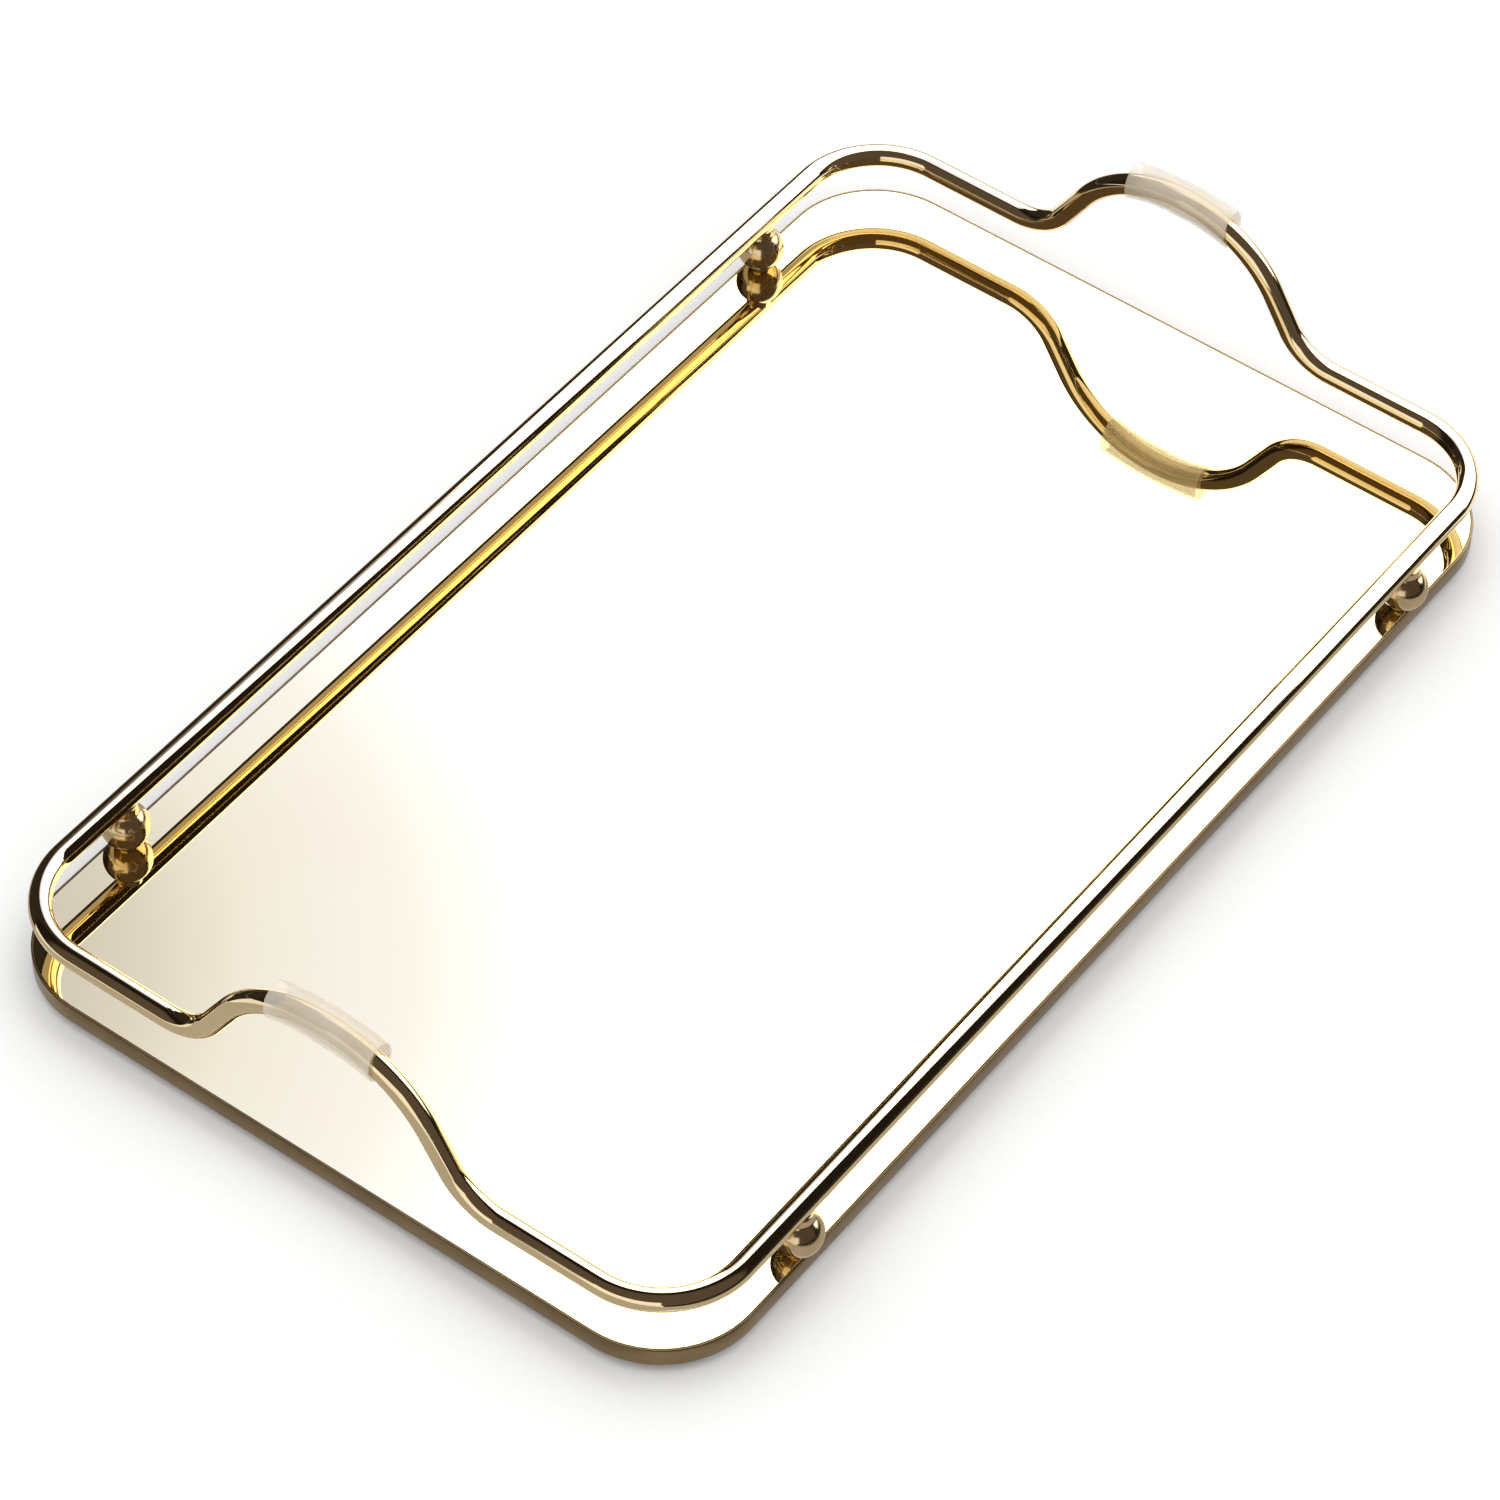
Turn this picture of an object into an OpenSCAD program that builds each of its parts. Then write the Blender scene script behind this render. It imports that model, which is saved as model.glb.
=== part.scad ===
// Mirrored dresser tray: a glass mirror in a metal edge band, with a bent rod
// rail on four ball posts. The rod rises into a carrying arch at each short end.
// Millimetres. +X runs along the tray, +Z up, and the origin is on the surface
// that the tray stands on, under its middle.

/* [Plate] */
// Length of the plate over the edge band
plate_l = 302; // [260:1:360]
// Width of the plate over the edge band
plate_w = 178; // [150:1:220]
// Corner radius of the plate
plate_r = 22.5; // [16:0.5:30]
// Thickness of the mirror glass
glass_t = 2; // [2:0.5:3]
// Thickness of the base board under the glass
board_t = 1.6; // [1.5:0.1:3]
// Thickness of the tape strips between board and glass
tape_t = 0.4; // [0.3:0.1:0.8]
// Wall of the edge band
band_wall = 0.5; // [0.5:0.1:1]
// Width of the lip that the edge band turns under the board
lip_w = 5; // [4.5:0.5:8]
// Thickness of that lip
lip_t = 0.5; // [0.4:0.1:0.8]

/* [Rail] */
// Diameter of the rail rod
rail_d = 5; // [4:0.5:6]
// Distance of the rod's centre line in from the plate edge
rail_inset = 2.75; // [2.75:0.25:3.5]
// Height of the rod's centre line above the glass
rail_rise = 13; // [12:0.5:16]

/* [Handle arch] */
// Radius of the crown of the arch
crown_r = 30; // [26:1:34]
// Radius of the bend where the arch leaves the rail
foot_bend_r = 14; // [12:1:18]
// Steepest slope of the arch, in degrees
arch_slope = 58; // [50:1:62]
// Straight length between the two bends
arch_straight = 9; // [6:1:14]

/* [Grip sleeve] */
// Length of the soft sleeve along the crown
sleeve_l = 26; // [20:1:32]
// Outside diameter of the sleeve
sleeve_d = 8; // [7:0.5:9]

/* [Ball posts] */
// Diameter of the balls
ball_d = 10.6; // [10:0.2:11]
// Distance of the balls from the middle of the tray
ball_x = 110; // [90:1:120]
// Diameter of the brazed collar between ball and rod
collar_d = 5.8; // [5.4:0.2:6.4]
// Thickness of the clear washer under each ball
gasket_t = 0.3; // [0.2:0.1:0.5]

/* [Feet] */
// Height of the feet below the edge band
foot_h = 2.5; // [2.4:0.1:4]
// Diameter of the feet
foot_d = 12; // [9:1:16]
// Distance of the feet in from the plate edge
foot_inset = 22; // [18:1:30]

/* [Hidden] */
$fn = 64;

gold = "#d9c08a";
bronze = "#6e5a38";
steel = "#b8b8b4";
sleeve_tint = "#ecdcd4";

// Heights of the stack, from the ground up
band_z = foot_h;
board_z = band_z + lip_t;
tape_z = board_z + board_t;
glass_z = tape_z + tape_t;
glass_top = glass_z + glass_t;
rail_z = glass_top + rail_rise;

// The rod's centre line seen from above
rail_x = plate_l / 2 - rail_inset;
rail_y = plate_w / 2 - rail_inset;
rail_corner = plate_r - rail_inset;

// The handle arch, from the rail up to its crown and from its middle outwards
arch_bends = crown_r + foot_bend_r;
arch_h = arch_bends * (1 - cos(arch_slope)) + arch_straight * sin(arch_slope);
arch_half = arch_bends * sin(arch_slope) + arch_straight * cos(arch_slope);
crown_half = crown_r * sin(arch_slope);
crown_drop = crown_r * (1 - cos(arch_slope));

// Fits: a sliding fit between pieces, and the room round the screws
slip = 0.05;
glass_gap = 0.1;
link_step = 0.02;
link_lap = 0.1;
cut = 1; // how far a cutter runs past the face that it opens
screw_d = 2.5;
screw_hole = 2.9;
screw_bite = 5;
bore_spare = 0.6;
head_d = 4.8;
head_h = 1.3;
drive_w = 0.8;
drive_l = 2.6;
drive_depth = 0.7;
washer_d = 5.3;
washer_t = 0.4;
gasket_d = 5;
ball_flat = 0.4;
ball_z = glass_top + gasket_t + ball_d / 2 - ball_flat;
strip_l = 240;
strip_w = 18;
strip_pitch = 60;
foot_taper = 1;
foot_lip = 0.8;

// Flat shape with round corners, grown or shrunk by one margin all round
module rounded_plate(margin) {
    l = plate_l + 2 * margin;
    w = plate_w + 2 * margin;
    r = plate_r + margin;
    square([l - 2 * r, w], center = true);
    square([l, w - 2 * r], center = true);
    for (x = [-1, 1], y = [-1, 1])
        translate([x * (l / 2 - r), y * (w / 2 - r)]) circle(r = r);
}

// Children at the centre of each of the four ball posts
module at_posts() {
    for (x = [-1, 1], y = [-1, 1])
        translate([x * ball_x, y * rail_y, 0]) children();
}

// Slots open to the edge, in which the post screws pass the glass and the board
module screw_slots() {
    at_posts() circle(d = screw_hole);
    for (x = [-1, 1], y = [-1, 1])
        translate([x * ball_x, y * (rail_y + rail_inset / 2)])
            square([screw_hole, rail_inset], center = true);
}

module mirror_glass() {
    color("white")
        translate([0, 0, glass_z])
            linear_extrude(glass_t)
                difference() {
                    rounded_plate(-band_wall - glass_gap);
                    screw_slots();
                }
}

module mirror_tape_strips() {
    color("gainsboro")
        for (row = [-1, 0, 1])
            translate([0, row * strip_pitch, tape_z + tape_t / 2])
                cube([strip_l, strip_w, tape_t], center = true);
}

module base_board() {
    color("#2c2a28")
        translate([0, 0, board_z])
            linear_extrude(board_t)
                difference() {
                    rounded_plate(-band_wall - glass_gap);
                    screw_slots();
                }
}

// An angle section bent into a loop: a wall round the plate, a lip under it
module edge_band() {
    color(bronze)
        translate([0, 0, band_z])
            difference() {
                linear_extrude(glass_top - band_z) rounded_plate(0);
                translate([0, 0, lip_t])
                    linear_extrude(glass_top) rounded_plate(-band_wall);
                translate([0, 0, -cut])
                    linear_extrude(lip_t + 2 * cut) rounded_plate(-lip_w);
                translate([0, 0, -cut])
                    at_posts() cylinder(d = screw_hole, h = lip_t + 2 * cut);
            }
}

// A bend of the rod about the origin, from one angle to another off the X axis
module rod_bend(radius, from, to) {
    rotate([0, 0, from])
        rotate_extrude(angle = to - from, $fn = 120)
            translate([radius, 0]) circle(d = rail_d, $fn = 40);
}

// A straight length of the rod between two bends, from the origin up the Y axis.
// It is a hair thicker than the bends and runs a little into them, so they fuse.
module rod_link(length) {
    translate([0, -link_lap, 0])
        rotate([-90, 0, 0])
            cylinder(d = rail_d + link_step, h = length + 2 * link_lap, $fn = 40);
}

module side_rail(side) {
    straight_l = 2 * (rail_x - rail_corner);
    color(gold)
        translate([0, side * rail_y, rail_z])
            rotate([0, 90, 0])
                cylinder(d = rail_d, h = straight_l, center = true, $fn = 40);
}

// One half of an end, up to the crown: corner, link, rising bend, sloping link
module half_end_rail() {
    corner_y = rail_y - rail_corner;
    translate([rail_x - rail_corner, corner_y, rail_z])
        rod_bend(rail_corner, 0, 90);
    translate([rail_x, arch_half, rail_z])
        rod_link(corner_y - arch_half);
    translate([rail_x, arch_half, rail_z + foot_bend_r])
        rotate([0, 90, 0]) rod_bend(foot_bend_r, -arch_slope, 0);
    translate([rail_x, crown_half, rail_z + arch_h - crown_drop])
        rotate([-arch_slope, 0, 0]) rod_link(arch_straight);
}

module end_rail() {
    color(gold) {
        half_end_rail();
        mirror([0, 1, 0]) half_end_rail();
        translate([rail_x, 0, rail_z + arch_h - crown_r])
            rotate([0, -90, 0]) rod_bend(crown_r, -arch_slope, arch_slope);
    }
}

// A ball with a flat seat, a threaded bore from below and a collar for the rod
module ball_post(x, y) {
    color(gold)
        translate([x * ball_x, y * rail_y, 0])
            difference() {
                union() {
                    translate([0, 0, ball_z]) sphere(d = ball_d);
                    translate([0, 0, ball_z])
                        cylinder(d = collar_d, h = rail_z - ball_z - rail_d / 4);
                }
                translate([0, 0, glass_top + gasket_t - ball_d])
                    cylinder(d = 2 * ball_d, h = ball_d);
                translate([0, 0, glass_top])
                    cylinder(d = screw_d + 2 * slip, h = gasket_t + screw_bite + bore_spare);
                translate([-ball_d, 0, rail_z])
                    rotate([0, 90, 0])
                        cylinder(d = rail_d + 2 * slip, h = 2 * ball_d);
            }
}

module post_gaskets() {
    color("whitesmoke")
        at_posts()
            translate([0, 0, glass_top])
                difference() {
                    cylinder(d = gasket_d, h = gasket_t);
                    translate([0, 0, -cut]) cylinder(d = screw_hole, h = gasket_t + 2 * cut);
                }
}

// Pan head screws with a cross drive, up through the lip into the balls
module post_screws() {
    color(steel)
        at_posts()
            translate([0, 0, band_z - washer_t - head_h])
                difference() {
                    union() {
                        cylinder(d = head_d, h = head_h);
                        cylinder(d = screw_d, h = glass_top + gasket_t + screw_bite
                            - band_z + washer_t + head_h);
                    }
                    translate([0, 0, (drive_depth - cut) / 2])
                        for (a = [0, 90])
                            rotate([0, 0, a])
                                cube([drive_l, drive_w, drive_depth + cut], center = true);
                }
}

module screw_washers() {
    color(steel)
        at_posts()
            translate([0, 0, band_z - washer_t])
                difference() {
                    cylinder(d = washer_d, h = washer_t);
                    translate([0, 0, -cut]) cylinder(d = screw_hole, h = washer_t + 2 * cut);
                }
}

// A soft tube over the crown of the right-hand arch
module grip_sleeve() {
    sleeve_turn = sleeve_l / crown_r * 180 / PI;
    color(sleeve_tint)
        translate([rail_x, 0, rail_z + arch_h - crown_r])
            rotate([0, -90, 0]) rotate([0, 0, -sleeve_turn / 2])
                rotate_extrude(angle = sleeve_turn, $fn = 120)
                    translate([crown_r, 0])
                        difference() {
                            circle(d = sleeve_d, $fn = 48);
                            circle(d = rail_d + 2 * slip, $fn = 48);
                        }
}

// A turned rubber foot, stuck under the board inside the lip
module foot(x, y) {
    stick = board_z - band_z;
    color("#1d1c1b")
        translate([x * (plate_l / 2 - foot_inset), y * (plate_w / 2 - foot_inset), 0])
            rotate_extrude()
                polygon([[0, 0], [foot_d / 2 - foot_taper, 0],
                    [foot_d / 2, foot_lip], [foot_d / 2, foot_h + stick],
                    [0, foot_h + stick]]);
}

mirror_glass();
mirror_tape_strips();
base_board();
edge_band();
side_rail(-1);  // side_rail_front
side_rail(1);  // side_rail_rear
mirror([1, 0, 0]) end_rail();  // end_rail_left
end_rail();  // end_rail_right
ball_post(-1, -1);  // ball_post_front_left
ball_post(1, -1);  // ball_post_front_right
ball_post(-1, 1);  // ball_post_rear_left
ball_post(1, 1);  // ball_post_rear_right
post_gaskets();
post_screws();
screw_washers();
mirror([1, 0, 0]) grip_sleeve();  // grip_sleeve_left
grip_sleeve();  // grip_sleeve_right
foot(-1, -1);  // foot_front_left
foot(1, -1);  // foot_front_right
foot(-1, 1);  // foot_rear_left
foot(1, 1);  // foot_rear_right
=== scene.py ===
import math

import bmesh
import bpy
import numpy as np
from mathutils import Matrix, Vector


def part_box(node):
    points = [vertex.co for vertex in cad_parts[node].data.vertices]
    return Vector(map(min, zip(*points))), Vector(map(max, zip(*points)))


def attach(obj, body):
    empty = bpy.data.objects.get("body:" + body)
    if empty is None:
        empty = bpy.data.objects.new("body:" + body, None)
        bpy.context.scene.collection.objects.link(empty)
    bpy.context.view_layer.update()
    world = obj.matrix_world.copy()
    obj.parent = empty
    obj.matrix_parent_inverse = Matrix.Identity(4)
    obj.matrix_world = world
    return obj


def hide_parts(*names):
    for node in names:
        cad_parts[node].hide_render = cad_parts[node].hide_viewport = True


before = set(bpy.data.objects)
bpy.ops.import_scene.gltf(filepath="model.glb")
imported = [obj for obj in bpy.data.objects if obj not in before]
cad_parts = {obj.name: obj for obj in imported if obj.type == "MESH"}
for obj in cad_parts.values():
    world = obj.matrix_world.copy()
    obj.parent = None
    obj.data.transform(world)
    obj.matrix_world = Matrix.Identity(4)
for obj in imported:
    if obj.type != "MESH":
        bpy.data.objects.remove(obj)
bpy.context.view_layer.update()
MM = 0.001

# What the CAD says about the plate, the rod and the rail's route, in metres
PLATE_LO, PLATE_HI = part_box("edge_band")
PLATE_X, PLATE_Y = PLATE_HI.x, PLATE_HI.y
GLASS_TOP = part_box("mirror_glass")[1].z
RAIL_LO, RAIL_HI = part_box("side_rail_front")
END_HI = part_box("end_rail_right")[1]
ROD_R = (RAIL_HI.z - RAIL_LO.z) / 2
RAIL_Z = (RAIL_HI.z + RAIL_LO.z) / 2
RAIL_Y = -(RAIL_LO.y + RAIL_HI.y) / 2
LINK_EXTRA = 0.01 * MM      # how far the CAD's end links stand out past the rod
RAIL_X = END_HI.x - LINK_EXTRA - ROD_R
CORNER_X = RAIL_HI.x
RAIL_CORNER = RAIL_X - CORNER_X
PLATE_R = RAIL_CORNER + PLATE_X - RAIL_X

# The bends of a carrying arch
CROWN_R = 30 * MM
FOOT_BEND_R = 14 * MM
ARCH_SLOPE = math.radians(58)
ARCH_STRAIGHT = 9 * MM
ARCH_H = END_HI.z - ROD_R - RAIL_Z
CROWN_Z = RAIL_Z + ARCH_H - CROWN_R
ARCH_HALF = ((CROWN_R + FOOT_BEND_R) * math.sin(ARCH_SLOPE)
             + ARCH_STRAIGHT * math.cos(ARCH_SLOPE))

# The sleeve on an arch
SLEEVE_HALF = 13 * MM
SLEEVE_WALL = 0.55 * MM

WHITE = (1, 1, 1)


# ---------------------------------------------------------------- mesh tools

def add_object(name, mesh, material, nodes):
    """Puts a finished mesh in the scene as a piece that stands for CAD nodes."""
    piece = bpy.data.objects.new(name, mesh)
    bpy.context.scene.collection.objects.link(piece)
    mesh.materials.append(material)
    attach(piece, "root")
    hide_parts(*nodes)
    return piece


def mesh_from(name, points, faces, smooth_angle=40):
    """A mesh with its normals outwards and smooth shading up to an angle."""
    bm = bmesh.new()
    verts = [bm.verts.new(p) for p in points]
    for face in faces:
        bm.faces.new([verts[i] for i in face])
    bmesh.ops.remove_doubles(bm, verts=bm.verts, dist=1e-7)
    bmesh.ops.recalc_face_normals(bm, faces=bm.faces)
    mesh = bpy.data.meshes.new(name)
    bm.to_mesh(mesh)
    bm.free()
    mesh.shade_smooth()
    mesh.set_sharp_from_angle(angle=math.radians(smooth_angle))
    return mesh


def grid_faces(rows, columns, wrap_rows):
    """Quads over rows of points, each row a closed ring of columns."""
    last = rows if wrap_rows else rows - 1
    return [(r * columns + c, r * columns + (c + 1) % columns,
             (r + 1) % rows * columns + (c + 1) % columns, (r + 1) % rows * columns + c)
            for r in range(last) for c in range(columns)]


def lathe(name, profile, centre, segments=96, smooth_angle=35):
    """A turned solid from (radius, height) pairs, closed flat at both ends."""
    points = [(centre[0] + r * math.cos(a), centre[1] + r * math.sin(a), z)
              for r, z in profile
              for a in (2 * math.pi * k / segments for k in range(segments))]
    faces = grid_faces(len(profile), segments, False)
    faces.append(tuple(range(segments)))
    faces.append(tuple(range((len(profile) - 1) * segments, len(profile) * segments)))
    return mesh_from(name, points, faces, smooth_angle)


def refined(node, name, material, bevel, segments=3):
    """A CAD node's own shape with welded faces and softly broken edges."""
    bm = bmesh.new()
    bm.from_mesh(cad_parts[node].data)
    bmesh.ops.remove_doubles(bm, verts=bm.verts, dist=1e-6)
    bmesh.ops.dissolve_limit(bm, angle_limit=math.radians(0.2), verts=bm.verts,
                             edges=bm.edges)
    mesh = bpy.data.meshes.new(name)
    bm.to_mesh(mesh)
    bm.free()
    piece = add_object(name, mesh, material, [node])
    edge = piece.modifiers.new("broken_edges", "BEVEL")
    edge.width, edge.segments = bevel, segments
    edge.limit_method, edge.angle_limit = "ANGLE", math.radians(30)
    edge.harden_normals = False
    mesh.shade_smooth()
    mesh.set_sharp_from_angle(angle=math.radians(30))
    return piece


# ---------------------------------------------------------------- node tools

class NodeKit:
    """Short ways to add and join the nodes of one node tree."""

    def __init__(self, tree):
        self.tree = tree

    def node(self, kind, **settings):
        made = self.tree.nodes.new(kind)
        for key, value in settings.items():
            setattr(made, key, value)
        return made

    def link(self, source, target):
        self.tree.links.new(source, target)

    def feed(self, socket, source):
        """Joins a source to a socket, or sets a constant on it."""
        if isinstance(source, bpy.types.NodeSocket):
            self.link(source, socket)
        else:
            socket.default_value = source

    def math(self, operation, first, second):
        made = self.node("ShaderNodeMath", operation=operation)
        self.feed(made.inputs[0], first)
        self.feed(made.inputs[1], second)
        return made.outputs[0]

    def step(self, source, start, end):
        """0 below start and 1 above end, with a smooth step between."""
        made = self.node("ShaderNodeMapRange", interpolation_type="SMOOTHSTEP")
        made.inputs["From Min"].default_value = start
        made.inputs["From Max"].default_value = end
        self.link(source, made.inputs["Value"])
        return made.outputs["Result"]

    def blend(self, factor, first, second):
        """A number that is first where factor is 0 and second where it is 1."""
        made = self.node("ShaderNodeMix", data_type="FLOAT")
        for place, source in ((0, factor), (2, first), (3, second)):
            self.feed(made.inputs[place], source)
        return made.outputs[0]

    def mix(self, factor, first, second, blend_type="MIX"):
        """A colour mixed from two."""
        made = self.node("ShaderNodeMix", data_type="RGBA", blend_type=blend_type)
        for place, source in ((0, factor), (6, first), (7, second)):
            self.feed(made.inputs[place], source)
        return made.outputs[2]

    def ramp(self, source, *stops):
        """Colours at positions along the source's value."""
        made = self.node("ShaderNodeValToRGB")
        elements = made.color_ramp.elements
        while len(elements) < len(stops):
            elements.new(0.5)
        for element, (place, colour) in zip(elements, stops):
            element.position, element.color = place, (*colour, 1)
        self.link(source, made.inputs["Fac"])
        return made.outputs["Color"]


class Finish(NodeKit):
    """A procedural material, built round one Principled shader."""

    def __init__(self, name, **values):
        self.mat = bpy.data.materials.new(name)
        self.mat.use_nodes = True
        super().__init__(self.mat.node_tree)
        self.shader = self.tree.nodes["Principled BSDF"]
        for key, value in values.items():
            self.shader.inputs[key.replace("_", " ")].default_value = value
        self.coord = self.node("ShaderNodeTexCoord").outputs["Object"]

    def noise(self, size, detail=3.0, stretch=(1, 1, 1), rough=0.5):
        """Noise whose features are about size metres across."""
        place = self.node("ShaderNodeMapping")
        place.inputs["Scale"].default_value = stretch
        self.link(self.coord, place.inputs["Vector"])
        made = self.node("ShaderNodeTexNoise")
        made.inputs["Scale"].default_value = 1 / size
        made.inputs["Detail"].default_value = detail
        made.inputs["Roughness"].default_value = rough
        self.link(place.outputs["Vector"], made.inputs["Vector"])
        return made.outputs["Fac"]

    def cells(self, size):
        """The distance to the nearest of points about size metres apart."""
        made = self.node("ShaderNodeTexVoronoi", feature="F1")
        made.inputs["Scale"].default_value = 1 / size
        self.link(self.coord, made.inputs["Vector"])
        return made.outputs["Distance"]

    def spread(self, source, low, high, start=0.3, end=0.7):
        """A value from low to high as the source goes from start to end."""
        made = self.node("ShaderNodeMapRange")
        for key, value in (("From Min", start), ("From Max", end),
                           ("To Min", low), ("To Max", high)):
            made.inputs[key].default_value = value
        self.link(source, made.inputs["Value"])
        return made.outputs["Result"]

    def colour(self, source):
        self.link(source, self.shader.inputs["Base Color"])

    def roughness(self, source):
        self.link(source, self.shader.inputs["Roughness"])

    def bump(self, *layers):
        """Stacks (height source, strength, depth in metres) layers of bump."""
        before = None
        for source, strength, depth in layers:
            made = self.node("ShaderNodeBump")
            made.inputs["Strength"].default_value = strength
            made.inputs["Distance"].default_value = depth
            self.link(source, made.inputs["Height"])
            if before:
                self.link(before, made.inputs["Normal"])
            before = made.outputs["Normal"]
        self.link(before, self.shader.inputs["Normal"])


# ----------------------------------------------------------------- materials

def rail_gold():
    """Polished pale gold plating, with tiny duller specks."""
    f = Finish("rail_gold", Metallic=1.0)
    broad = f.noise(9 * MM, 2)
    specks = f.noise(0.35 * MM, 4, rough=0.7)
    tone = f.ramp(broad, (0.3, (0.87, 0.71, 0.45)), (0.7, (0.85, 0.69, 0.43)))
    worn = f.ramp(specks, (0.66, WHITE), (0.78, (0.86, 0.82, 0.75)))
    f.colour(f.mix(0.35, tone, worn, "MULTIPLY"))
    f.roughness(f.spread(specks, 0.03, 0.055, 0.35, 0.75))
    f.bump((f.noise(6 * MM, 1), 0.03, 0.006 * MM))
    return f.mat


def ball_gold():
    """The same plating on the balls, a little deeper and less bright: painted shade."""
    f = Finish("ball_gold", Metallic=1.0)
    broad = f.noise(3 * MM, 3)
    specks = f.noise(0.3 * MM, 4, rough=0.7)
    # painted shade: the balls' gold is a darker copy of the rail's gold
    tone = f.ramp(broad, (0.3, (0.74, 0.57, 0.35)), (0.7, (0.64, 0.48, 0.28)))
    worn = f.ramp(specks, (0.62, WHITE), (0.76, (0.80, 0.76, 0.70)))
    f.colour(f.mix(0.6, tone, worn, "MULTIPLY"))
    f.roughness(f.spread(broad, 0.14, 0.20))
    f.bump((f.noise(3 * MM, 1), 0.05, 0.01 * MM))
    return f.mat


def mirror_silver():
    """An amber-tinted mirror with a very slight waviness and a few dust flecks."""
    f = Finish("mirror", Metallic=1.0)
    haze = f.noise(40 * MM, 3)
    dust = f.cells(4 * MM)
    tone = f.ramp(haze, (0.3, (0.93, 0.79, 0.47)), (0.7, (0.92, 0.78, 0.455)))
    fleck = f.ramp(dust, (0.0, (0.96, 0.96, 0.95)), (0.03, WHITE))
    f.colour(f.mix(0.5, tone, fleck, "MULTIPLY"))
    f.roughness(f.spread(haze, 0.0, 0.010))
    f.bump((f.noise(60 * MM, 1), 0.02, 0.01 * MM))
    return f.mat


def bronze_band():
    """Satin bronze with a fine grain that runs round the plate."""
    f = Finish("bronze_band", Metallic=1.0)
    grain = f.noise(0.6 * MM, 4, (1, 1, 14), 0.65)
    broad = f.noise(14 * MM, 3)
    tone = f.ramp(broad, (0.3, (0.30, 0.21, 0.105)), (0.7, (0.24, 0.165, 0.085)))
    fine = f.ramp(grain, (0.3, (0.85, 0.85, 0.85)), (0.7, WHITE))
    f.colour(f.mix(1.0, tone, fine, "MULTIPLY"))
    f.roughness(f.spread(grain, 0.28, 0.44))
    f.bump((grain, 0.12, 0.01 * MM))
    return f.mat


def sleeve_plastic():
    """Milky soft plastic, thin enough for the rod to show faintly through it."""
    f = Finish("sleeve_plastic", Alpha=0.36, Coat_Weight=0.3, Coat_Roughness=0.2)
    cloud = f.noise(6 * MM, 3)
    fine = f.noise(0.5 * MM, 4)
    f.colour(f.ramp(cloud, (0.3, (0.80, 0.73, 0.62)), (0.7, (0.77, 0.69, 0.54))))
    f.roughness(f.spread(fine, 0.32, 0.44))
    f.bump((f.noise(3 * MM, 2), 0.2, 0.05 * MM), (fine, 0.1, 0.01 * MM))
    return f.mat


def foam_tape():
    f = Finish("foam_tape")
    bubbles = f.cells(0.25 * MM)
    f.colour(f.ramp(bubbles, (0.1, (0.62, 0.62, 0.60)), (0.6, (0.80, 0.80, 0.78))))
    f.roughness(f.spread(bubbles, 0.75, 0.95, 0.1, 0.6))
    f.bump((bubbles, 0.4, 0.04 * MM))
    return f.mat


def hardboard():
    f = Finish("hardboard")
    fibres = f.noise(1.1 * MM, 5, (1, 4, 1), 0.65)
    press = f.noise(0.4 * MM, 3)
    patch = f.noise(45 * MM, 2)
    wood = f.ramp(fibres, (0.3, (0.075, 0.052, 0.036)), (0.7, (0.15, 0.105, 0.07)))
    shade = f.ramp(patch, (0.3, (0.82, 0.82, 0.82)), (0.7, WHITE))
    f.colour(f.mix(1.0, wood, shade, "MULTIPLY"))
    f.roughness(f.spread(fibres, 0.55, 0.8))
    f.bump((fibres, 0.35, 0.06 * MM), (press, 0.25, 0.03 * MM))
    return f.mat


def clear_plastic():
    f = Finish("clear_plastic", Transmission_Weight=0.85, IOR=1.45)
    fine = f.noise(0.4 * MM, 3)
    f.colour(f.ramp(fine, (0.3, (0.86, 0.86, 0.83)), (0.7, (0.93, 0.93, 0.91))))
    f.roughness(f.spread(fine, 0.12, 0.25))
    f.bump((fine, 0.15, 0.01 * MM))
    return f.mat


def screw_steel():
    f = Finish("screw_steel", Metallic=1.0)
    turned = f.noise(0.25 * MM, 3, (1, 1, 3))
    stain = f.noise(1.6 * MM, 3)
    f.colour(f.ramp(stain, (0.3, (0.60, 0.60, 0.58)), (0.7, (0.74, 0.73, 0.68))))
    f.roughness(f.spread(turned, 0.26, 0.42))
    f.bump((turned, 0.2, 0.008 * MM))
    return f.mat


def foot_rubber():
    f = Finish("foot_rubber")
    grit = f.noise(0.3 * MM, 4, rough=0.7)
    dust = f.noise(2.5 * MM, 3)
    f.colour(f.ramp(dust, (0.35, (0.022, 0.022, 0.022)), (0.75, (0.06, 0.058, 0.055))))
    f.roughness(f.spread(grit, 0.62, 0.85))
    f.bump((grit, 0.35, 0.03 * MM))
    return f.mat


def floor_paper():
    """White paper, clear from below so that the underside can be looked at."""
    f = Finish("floor_paper")
    tooth = f.noise(1.5 * MM, 4)
    f.colour(f.ramp(tooth, (0.3, (0.80, 0.80, 0.797)), (0.7, (0.82, 0.82, 0.817))))
    f.roughness(f.spread(tooth, 0.7, 0.85))
    f.bump((tooth, 0.05, 0.05 * MM))
    under = f.node("ShaderNodeNewGeometry").outputs["Backfacing"]
    either = f.node("ShaderNodeMixShader")
    f.link(under, either.inputs[0])
    f.link(f.shader.outputs[0], either.inputs[1])
    f.link(f.node("ShaderNodeBsdfTransparent").outputs[0], either.inputs[2])
    f.link(either.outputs[0], f.tree.nodes["Material Output"].inputs["Surface"])
    return f.mat


# -------------------------------------------------------------------- pieces

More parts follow.
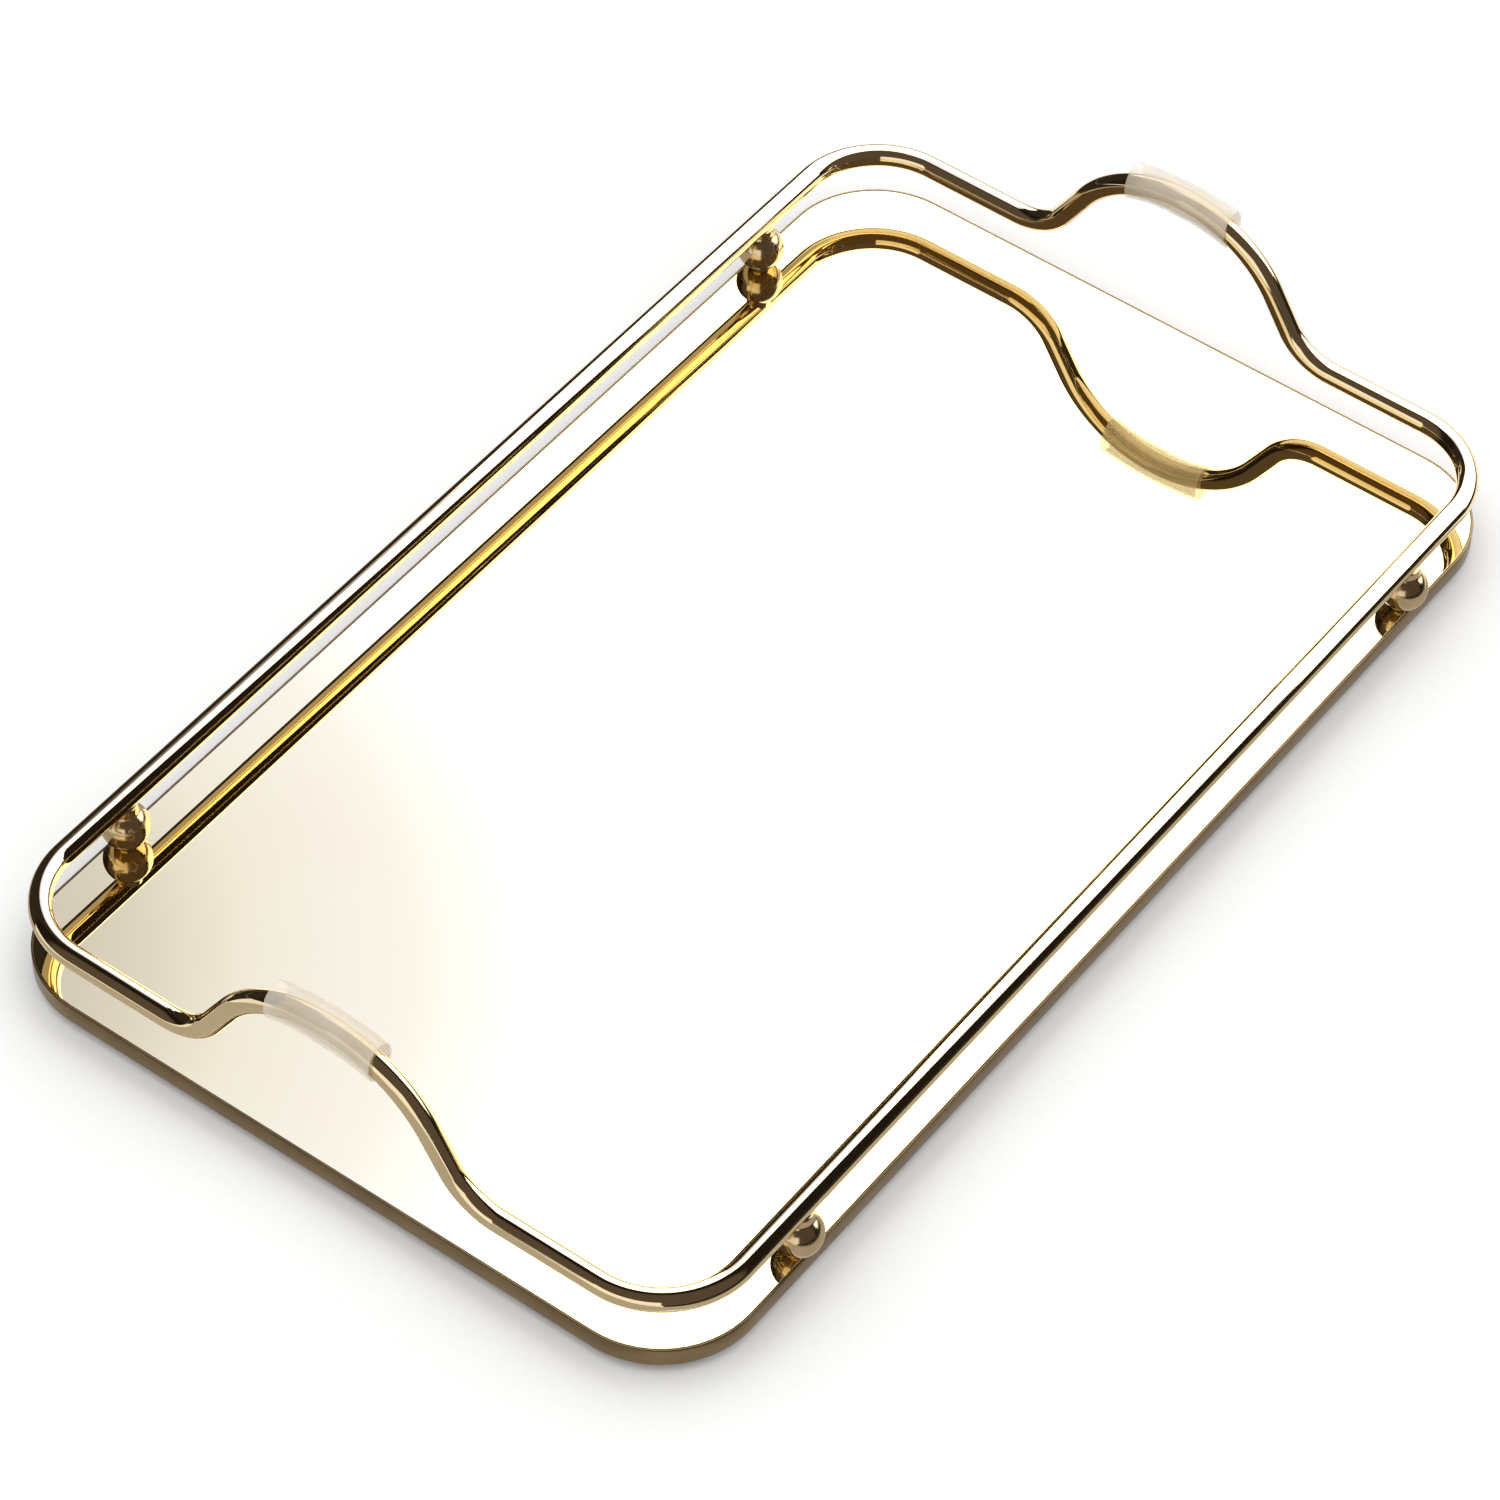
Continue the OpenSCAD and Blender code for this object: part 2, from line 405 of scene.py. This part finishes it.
def corner_route():
    """The rod's centre along half of the rear side and round the right-hand corner,
    each point with its outward direction in plan."""
    rear, right = (0, 1, 0), (1, 0, 0)
    route = [((x, RAIL_Y, RAIL_Z), rear)
             for x in np.linspace(0, CORNER_X, 24, endpoint=False)]
    corner_y = RAIL_Y - RAIL_CORNER
    for a in np.linspace(math.pi / 2, 0, 49):
        out = (math.cos(a), math.sin(a), 0)
        route.append(((CORNER_X + RAIL_CORNER * out[0],
                       corner_y + RAIL_CORNER * out[1], RAIL_Z), out))
    for y in np.linspace(corner_y, ARCH_HALF, 8)[1:-1]:
        route.append(((RAIL_X, y, RAIL_Z), right))
    return route


def arch_route():
    """The rod's centre from the foot of the right-hand arch up to its crown."""
    route = [(ARCH_HALF - FOOT_BEND_R * math.sin(b),
              RAIL_Z + FOOT_BEND_R * (1 - math.cos(b)))
             for b in np.linspace(0, ARCH_SLOPE, 33)]
    foot_y, foot_z = route[-1]
    for t in np.linspace(0, ARCH_STRAIGHT, 5)[1:-1]:
        route.append((foot_y - t * math.cos(ARCH_SLOPE), foot_z + t * math.sin(ARCH_SLOPE)))
    for c in np.linspace(ARCH_SLOPE, 0, 49):
        route.append((CROWN_R * math.sin(c), CROWN_Z + CROWN_R * math.cos(c)))
    return [((RAIL_X, y, z), (1, 0, 0)) for y, z in route]


def rail_loop(material, segments=64):
    """The whole rod as one smooth closed tube, arches included."""
    quarter = np.array(corner_route() + arch_route())
    flip_y, flip_x = np.array([1, -1, 1]), np.array([-1, 1, 1])
    half = np.concatenate([quarter, (quarter * flip_y)[::-1][1:]])
    loop = np.concatenate([half, (half * flip_x)[::-1][1:-1]])
    centre, out = loop[:, 0], loop[:, 1]
    along = np.roll(centre, -1, 0) - np.roll(centre, 1, 0)
    along /= np.linalg.norm(along, axis=1)[:, None]
    up = np.cross(along, out)
    turn = 2 * np.pi * np.arange(segments) / segments
    points = (centre[:, None] + ROD_R * (np.cos(turn)[None, :, None] * out[:, None]
                                         + np.sin(turn)[None, :, None] * up[:, None]))
    mesh = mesh_from("rail_loop", points.reshape(-1, 3),
                     grid_faces(len(centre), segments, True), 60)
    return add_object("rail_loop", mesh, material,
                      ["side_rail_front", "side_rail_rear", "end_rail_left",
                       "end_rail_right"])


def ball_post(node, material):
    """A ball on a flat seat, drawn up through a fillet into a cup for the rod."""
    lo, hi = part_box(node)
    ball_r = (hi.x - lo.x) / 2
    ball_z = GLASS_TOP + 5.2 * MM
    cup_r, fillet, rim = 2.85 * MM, 0.35 * MM, 0.25 * MM
    seat = math.asin((lo.z - ball_z) / ball_r)
    neck = math.acos((cup_r + fillet) / ball_r)
    profile = [(ball_r * math.cos(a), ball_z + ball_r * math.sin(a))
               for a in np.linspace(seat, neck, 40)]
    rise = profile[-1][1]
    profile += [(cup_r + 0.10 * MM, rise + 0.28 * MM), (cup_r, rise + 0.65 * MM),
                (cup_r, hi.z - rim), (cup_r - 0.08 * MM, hi.z - 0.08 * MM),
                (cup_r - rim, hi.z)]
    row = RAIL_Y if lo.y + hi.y > 0 else -RAIL_Y
    mesh = lathe(node + "_turned", profile, ((lo.x + hi.x) / 2, row))
    return add_object(node + "_turned", mesh, material, [node])


def plate_outline(offset, steps=40):
    """Points round the plate's edge, moved outwards by offset, with no repeats."""
    radius = PLATE_R + offset
    points = []
    for k, (sx, sy) in enumerate(((1, 1), (-1, 1), (-1, -1), (1, -1))):
        cx, cy = sx * (PLATE_X - PLATE_R), sy * (PLATE_Y - PLATE_R)
        for a in np.linspace(k * math.pi / 2, (k + 1) * math.pi / 2, steps + 1):
            points.append((cx + radius * math.cos(a), cy + radius * math.sin(a)))
    return points


def edge_band(material):
    """An angle section bent round the plate, its outer edges rolled over."""
    wall, lip, lip_t = 0.5 * MM, 5 * MM, 0.5 * MM
    soft, inner_break = 0.25 * MM, 0.04 * MM
    low, top = PLATE_LO.z, PLATE_HI.z
    section = [(-lip, low), (-lip, low + lip_t), (-wall, low + lip_t),
               (-wall, top - inner_break), (-wall + inner_break, top)]
    section += [(-soft + soft * math.sin(a), top - soft + soft * math.cos(a))
                for a in np.linspace(0, math.pi / 2, 6)]
    section += [(-soft + soft * math.cos(a), low + soft - soft * math.sin(a))
                for a in np.linspace(0, math.pi / 2, 6)]
    rings = [[(x, y, z) for x, y in plate_outline(offset)] for offset, z in section]
    points = [p for ring in rings for p in ring]
    mesh = mesh_from("edge_band_rolled", points,
                     grid_faces(len(rings), len(rings[0]), True), 35)
    return add_object("edge_band_rolled", mesh, material, ["edge_band"])


def sleeve_section(y):
    """Half width, lowest and highest point of the sleeve's outside at y."""
    share = abs(y) / SLEEVE_HALF
    tilt = math.cos(math.asin(y / CROWN_R))
    rod = CROWN_Z + math.sqrt(CROWN_R ** 2 - y ** 2)
    low = rod - ROD_R / tilt - (1.35 - 0.75 * share) * MM
    high = CROWN_Z + CROWN_R + 3.95 * MM - 0.75 * MM * share ** 2.2
    return (4.1 - 0.3 * share) * MM, low, high


def sleeve_ring(side, y, inner, segments):
    """A ring round the sleeve at y, with its mouths rounded and one soft crease."""
    half, low, high = sleeve_section(y)
    centre, tall = (low + high) / 2, (high - low) / 2
    crease = 0.12 * MM * math.exp(-((y - 2 * MM) / (0.9 * MM)) ** 2)
    less = SLEEVE_WALL if inner else crease
    if abs(abs(y) - SLEEVE_HALF) < 1e-9:
        less += -0.10 * MM if inner else 0.10 * MM
    turns = (2 * math.pi * k / segments for k in range(segments))
    return [(side * RAIL_X + (half - less) * math.cos(a), y,
             centre + (tall - less) * math.sin(a)) for a in turns]


def sleeve(side, material):
    """A soft tube, nearly straight on top, sagging on the rod at its open ends."""
    segments, stations = 72, 41
    node = "grip_sleeve_right" if side > 0 else "grip_sleeve_left"
    places = np.linspace(-SLEEVE_HALF, SLEEVE_HALF, stations)
    rings = [sleeve_ring(side, y, False, segments) for y in places]
    rings += [sleeve_ring(side, y, True, segments) for y in reversed(places)]
    points = [p for ring in rings for p in ring]
    mesh = mesh_from(node + "_tube", points, grid_faces(len(rings), segments, True), 50)
    return add_object(node + "_tube", mesh, material, [node])


def build_tray():
    """Every piece of the object, in the order of the parts list."""
    gold, ball, steel, rubber = rail_gold(), ball_gold(), screw_steel(), foot_rubber()
    plastic = sleeve_plastic()
    refined("mirror_glass", "mirror_plate", mirror_silver(), 0.08 * MM)
    refined("mirror_tape_strips", "tape_strips", foam_tape(), 0.05 * MM)
    refined("base_board", "backing_board", hardboard(), 0.15 * MM)
    edge_band(bronze_band())
    rail_loop(gold)
    for end in ("left", "right"):
        for row in ("front", "rear"):
            ball_post(f"ball_post_{row}_{end}", ball)
            refined(f"foot_{row}_{end}", f"foot_{row}_{end}_moulded", rubber,
                    0.25 * MM)
        sleeve(1 if end == "right" else -1, plastic)
    refined("post_gaskets", "gasket_rings", clear_plastic(), 0.05 * MM)
    refined("post_screws", "pan_screws", steel, 0.12 * MM)
    refined("screw_washers", "flat_washers", steel, 0.06 * MM)


# --------------------------------------------------------------------- stage

SOFTBOX_Z = 763 * MM


def look(heading, rise=0):
    """The direction at heading degrees round from +X and rise degrees above level."""
    heading, rise = math.radians(heading), math.radians(rise)
    return Vector((math.cos(heading) * math.cos(rise),
                   math.sin(heading) * math.cos(rise), math.sin(rise)))


def flat_card(name, corners, height, material):
    """A level stage piece from its corners in plan."""
    mesh = bpy.data.meshes.new(name)
    mesh.from_pydata([(x, y, height) for x, y in corners], [], [range(len(corners))])
    mesh.materials.append(material)
    card = bpy.data.objects.new(name, mesh)
    bpy.context.scene.collection.objects.link(card)
    return card


def reflected_card(name, corners, height, material):
    """A level card that shows only in reflections."""
    card = flat_card(name, corners, height, material)
    card.visible_camera = card.visible_diffuse = card.visible_shadow = False
    card.visible_transmission = card.visible_volume_scatter = False


def glow(name, colour, strength=1.0):
    """A plain emitting material."""
    mat = bpy.data.materials.new(name)
    mat.use_nodes = True
    kit = NodeKit(mat.node_tree)
    kit.tree.nodes.clear()
    light = kit.node("ShaderNodeEmission")
    light.inputs["Color"].default_value = (*colour, 1)
    light.inputs["Strength"].default_value = strength
    kit.link(light.outputs[0], kit.node("ShaderNodeOutputMaterial").inputs["Surface"])
    return mat


def softbox_glow():
    """White light that dims and turns bluish near one corner of the softbox, which
    the amber mirror shows as cream."""
    mat = glow("softbox", WHITE, 2.4)
    kit = NodeKit(mat.node_tree)
    away = kit.node("ShaderNodeVectorMath", operation="DISTANCE")
    kit.link(kit.node("ShaderNodeTexCoord").outputs["Object"], away.inputs[0])
    away.inputs[1].default_value = (0.25, 0.60, SOFTBOX_Z)
    faded = kit.ramp(away.outputs["Value"], (0.05, (0.26, 0.27, 0.35)),
                     (0.115, (0.32, 0.34, 0.45)), (0.16, (0.40, 0.44, 0.62)),
                     (0.22, (0.44, 0.485, 0.74)), (0.28, (0.60, 0.66, 1)), (0.33, WHITE))
    kit.link(faded, kit.tree.nodes["Emission"].inputs["Color"])
    return mat


def soft_light(name, height, size, radiance):
    """A square light over or under the tray, facing it, that no reflection shows."""
    data = bpy.data.lights.new(name, "AREA")
    data.shape, data.size = "SQUARE", size
    data.energy = radiance * math.pi * size ** 2
    lamp = bpy.data.objects.new(name, data)
    bpy.context.scene.collection.objects.link(lamp)
    lamp.location = (0, 0, height)
    lamp.rotation_euler = (0 if height > 0 else math.pi, 0, 0)
    lamp.visible_glossy = lamp.visible_camera = lamp.visible_transmission = False


def lay_floor():
    """Pale paper that doesn't shade the light from below."""
    half = 5.0
    corners = [(-half, -half), (half, -half), (half, half), (-half, half)]
    flat_card("floor", corners, 0, floor_paper()).visible_shadow = False


def lay_table():
    """What the gold reflects of the table: a grey glow round the front, the rear and
    the left of the tray, painted shade that shows the floor there as dark as in the tray's
    shade, and beyond it a dark top to the front and the rear."""
    gap, glow_reach, far = 3 * MM, 45 * MM, 4
    x, y, edge = PLATE_X, PLATE_Y + gap, PLATE_Y + glow_reach
    glow_end = -0.9
    dark = glow("dark_table", (0.03, 0.026, 0.022))
    reflected_card("dark_table_front", [(-0.21, -edge), (-2.5, -1.94), (-2.5, -far),
                                        (far, -far), (far, -edge)], 0.4 * MM, dark)
    reflected_card("dark_table_rear", [(-0.17, edge), (far, edge), (far, far),
                                       (-1.6, far)], 0.4 * MM, dark)
    # painted shade: the floor beside the tray glows grey in reflections, as dark as in the
    # tray's shade
    floor_shade = glow("floor_shade_glow", (0.50, 0.47, 0.42))
    for name, side in (("front", -1), ("rear", 1)):
        reflected_card("floor_shade_glow_" + name, [
            (glow_end, side * y), (x, side * y), (x, side * edge),
            (glow_end, side * edge)], 0.3 * MM, floor_shade)
    reflected_card("floor_shade_glow_left", [(-x - gap, -y), (-x - gap, y), (glow_end, y),
                                       (glow_end, -y)], 0.3 * MM, floor_shade)


def hang_lights():
    """The softbox that the mirror and the gold reflect, and the two soft lights that
    light everything else."""
    front_edge = [(4.00, -2.13), (1.71, -2.13), (1.07, -1.20), (0.65, -0.72),
                  (0.46, -0.42), (0.11, 0.23)]
    left_end = [(0.11, 0.39), (0.34, 0.56), (0.60, 0.62)]
    rear_edge = [(0.72, 0.95), (1.40, 1.80), (4.00, 4.50)]
    reflected_card("softbox", front_edge + left_end + rear_edge, SOFTBOX_Z,
                   softbox_glow())
    soft_light("soft_ceiling", 6, 30.0, 1.44)
    soft_light("soft_underneath", -1.2, 3.0, 1.2)


class Studio(NodeKit):
    """What reflections show beyond the cards, by the direction that they look in."""

    def __init__(self, tree):
        super().__init__(tree)
        self.ray = self.node("ShaderNodeTexCoord").outputs["Generated"]
        self.height = self.along(look(0, 90))
        self.below = self.math("MULTIPLY", self.height, -1)

    def along(self, direction):
        """How far a look goes in a direction, from -1 to 1."""
        dot = self.node("ShaderNodeVectorMath", operation="DOT_PRODUCT")
        self.link(self.ray, dot.inputs[0])
        dot.inputs[1].default_value = direction
        return dot.outputs["Value"]

    def sweep(self):
        """A white sweep, dark overhead, near the floor and straight to the rear."""
        rear_or_top = self.math("MAXIMUM", self.step(self.along(look(90)), 0.60, 0.68),
                                self.step(self.height, 0.56, 0.62))
        dark = self.math("MAXIMUM", rear_or_top, self.step(self.below, -0.16, -0.10))
        return self.blend(dark, 2.4, 0.03)

    def room(self, depth):
        """A dark room, a little lighter deep inside, with a white panel low on its
        left."""
        left = self.math("MULTIPLY",
                         self.step(self.along(look(128)), -0.01, 0.02),
                         self.step(self.along(look(247.5)), -0.005, 0.02))
        panel = self.math("MULTIPLY", left, self.step(self.below, -0.46, -0.40))
        dusk = self.blend(self.step(depth, 0.12, 0.30), 0.015, 0.10)
        return self.blend(panel, dusk, 1.1)

    def light(self):
        """The room on one side, the sweep on the other and nothing below."""
        depth = self.along(look(212.4, 16.6))
        around = self.blend(self.step(depth, -0.20, -0.12), self.sweep(),
                            self.room(depth))
        return self.math("MULTIPLY", around, self.step(self.height, -0.02, 0.0))


def studio_world():
    """The studio as reflections show it. To the camera it is plain white, and matt
    surfaces get no light from it."""
    world = bpy.data.worlds.new("studio")
    bpy.context.scene.world = world
    world.use_nodes = True
    studio = Studio(world.node_tree)
    to_camera = studio.node("ShaderNodeLightPath").outputs["Is Camera Ray"]
    shown = studio.blend(to_camera, studio.light(), 1.0)
    warm_shade = studio.mix(studio.step(shown, 0.2, 0.6), (1, 0.78, 0.62, 1), (*WHITE, 1))
    back = studio.tree.nodes["Background"]
    studio.link(shown, back.inputs["Strength"])
    studio.link(warm_shade, back.inputs["Color"])
    world.cycles_visibility.diffuse = False


def set_camera():
    """Looks down over the front left corner from well back."""
    azimuth, elevation, roll = map(math.radians, (-54.84, 48.04, 2.0))
    distance, target = 1.283, Vector((-5.3, 3.1, 0)) * MM
    back = Vector((math.sin(azimuth) * math.cos(elevation),
                   -math.cos(azimuth) * math.cos(elevation), math.sin(elevation)))
    right = (-back).cross(Vector((0, 0, 1))).normalized()
    up = right.cross(-back)
    x = right * math.cos(roll) + up * math.sin(roll)
    y = up * math.cos(roll) - right * math.sin(roll)
    data = bpy.data.cameras.new("camera")
    data.lens, data.sensor_width = 145.2, 36.0
    data.clip_start, data.clip_end = 0.05, 60
    camera = bpy.data.objects.new("camera", data)
    bpy.context.scene.collection.objects.link(camera)
    camera.matrix_world = (Matrix.Translation(target + back * distance)
                           @ Matrix((x, y, back)).transposed().to_4x4())
    bpy.context.scene.camera = camera


def set_view():
    """Plain colours, with no film look."""
    view = bpy.context.scene.view_settings
    view.view_transform, view.look = "Standard", "None"
    view.exposure, view.gamma = 0, 1


build_tray()
lay_floor()
lay_table()
hang_lights()
studio_world()
set_camera()
set_view()
